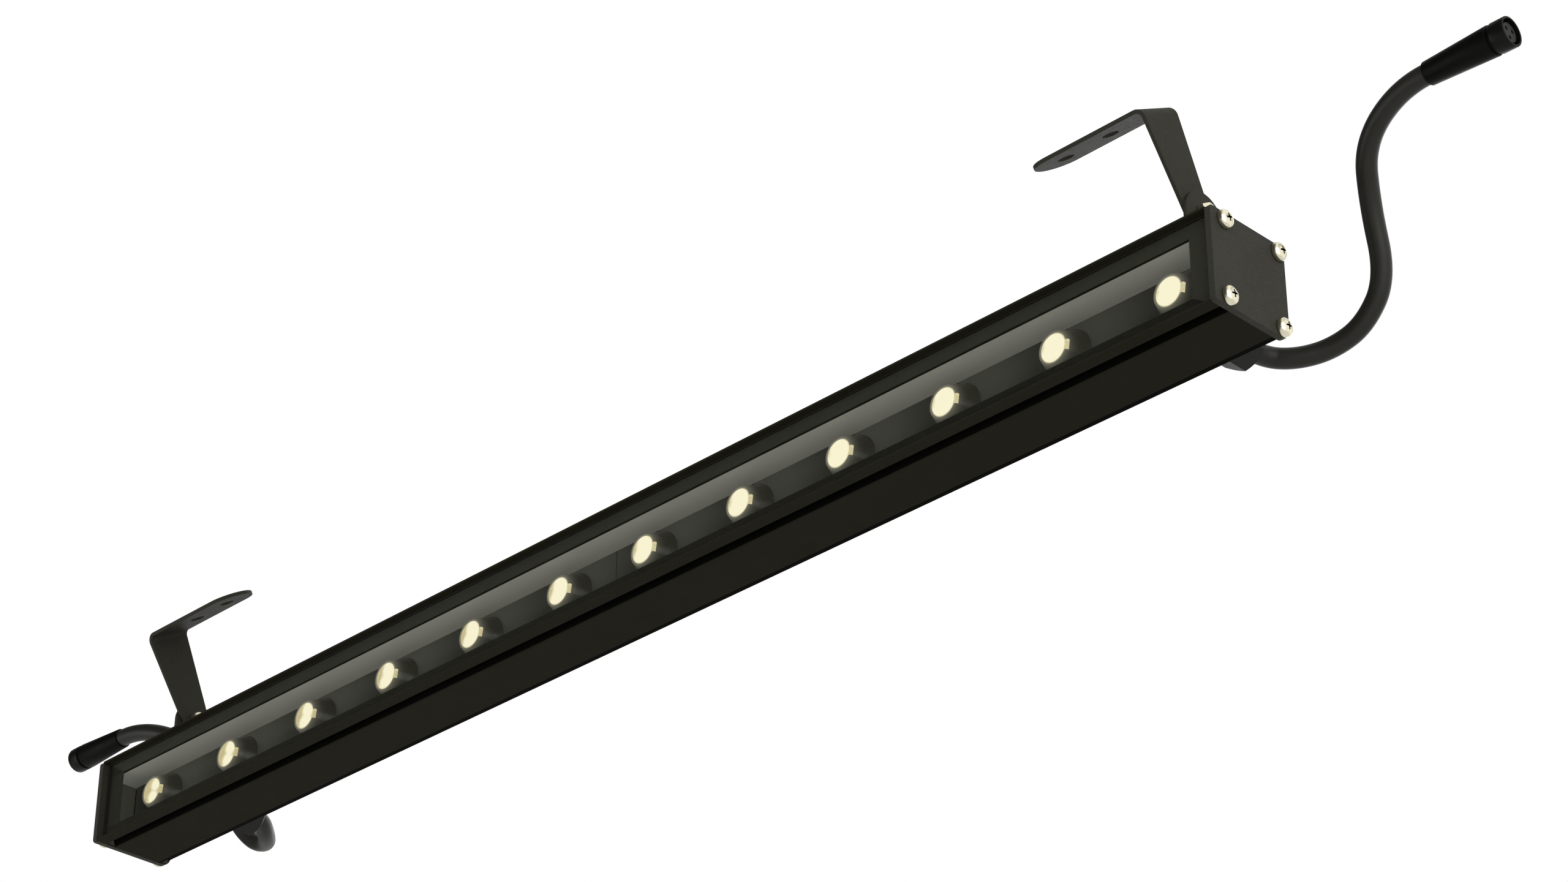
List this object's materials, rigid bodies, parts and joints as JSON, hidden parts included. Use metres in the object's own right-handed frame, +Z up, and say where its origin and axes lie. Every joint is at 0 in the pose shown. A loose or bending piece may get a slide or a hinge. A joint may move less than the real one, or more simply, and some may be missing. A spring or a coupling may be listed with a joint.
{
  "type": "outdoor wall washer light",
  "caption": "Slim linear wall washer: coated aluminium housing with a row of lensed LEDs behind glass, tilting on end brackets, with a plug-in lead at each end.",
  "frame": {"origin": "midway between the two bracket feet, on the plane of the surface that they are screwed to", "axes": "+X along the housing, -Y out of the lit face, +Z up from the housing towards the brackets, with the housing level"},
  "size_m": [0.6494, 0.0706, 0.0805],
  "materials": {
    "coated_aluminium": "charcoal powder coat with a fine leathery grain",
    "coated_steel": "charcoal powder coat with a fine leathery grain",
    "clear_glass": "clear flat glass",
    "black_border": "black print behind the glass, glossy through it",
    "black_bead": "black silicone bead",
    "grey_liner": "light grey satin paint",
    "black_board": "glossy black solder mask",
    "led_chip": "yellow phosphor",
    "black_holder": "glossy black moulded plastic",
    "lit_lens": "clear lens, lit warm white",
    "black_gasket": "black rubber",
    "bright_steel": "bright stainless steel",
    "gland_plastic": "dark grey nylon",
    "cable_rubber": "black rubber sheath with a soft sheen",
    "connector_rubber": "black moulded sleeve",
    "connector_shell": "black moulded shell",
    "connector_insert": "dark grey moulded insert",
    "contact_brass": "bright brass pins"
  },
  "bodies": {
    "brackets": {"bracket_left": "coated_steel", "bracket_right": "coated_steel"},
    "light": {"housing_extrusion": "coated_aluminium", "end_cap_left": "coated_aluminium", "end_cap_right": "coated_aluminium", "ear_left": "coated_steel", "ear_right": "coated_steel", "front_glass": "clear_glass", "glass_border": "black_border", "glass_bead": "black_bead", "cavity_liners": "grey_liner", "led_board_left": "black_board", "led_board_right": "black_board", "led_chips": "led_chip", "lens_holders": "black_holder", "lenses": "lit_lens", "end_gasket_left": "black_gasket", "end_gasket_right": "black_gasket", "gland_washer_left": "black_gasket", "gland_washer_right": "black_gasket", "gland_seal_left": "black_gasket", "gland_seal_right": "black_gasket", "cap_screws_left": "bright_steel", "cap_screws_right": "bright_steel", "ear_screws_left": "bright_steel", "ear_screws_right": "bright_steel", "pivot_bolt_left": "bright_steel", "pivot_bolt_right": "bright_steel", "pivot_nut_left": "bright_steel", "pivot_nut_right": "bright_steel", "gland_body_left": "gland_plastic", "gland_body_right": "gland_plastic", "gland_locknut_left": "gland_plastic", "gland_locknut_right": "gland_plastic", "gland_nut_left": "gland_plastic", "gland_nut_right": "gland_plastic", "cable_left": "cable_rubber", "cable_right": "cable_rubber", "cable_tail_left": "cable_rubber", "cable_tail_right": "cable_rubber", "connector_sleeve_left": "connector_rubber", "connector_sleeve_right": "connector_rubber", "connector_ring_left": "connector_shell", "connector_ring_right": "connector_shell", "connector_insert_left": "connector_insert", "connector_insert_right": "connector_insert", "connector_pins_left": "contact_brass"}
  },
  "joints": [
    {"name": "housing_tilt", "type": "hinge", "parent": "brackets", "child": "light", "pos_m": [0, 0.01652, -0.03068], "axis": [1, 0, 0], "range_deg": [-76, 133]}
  ]
}
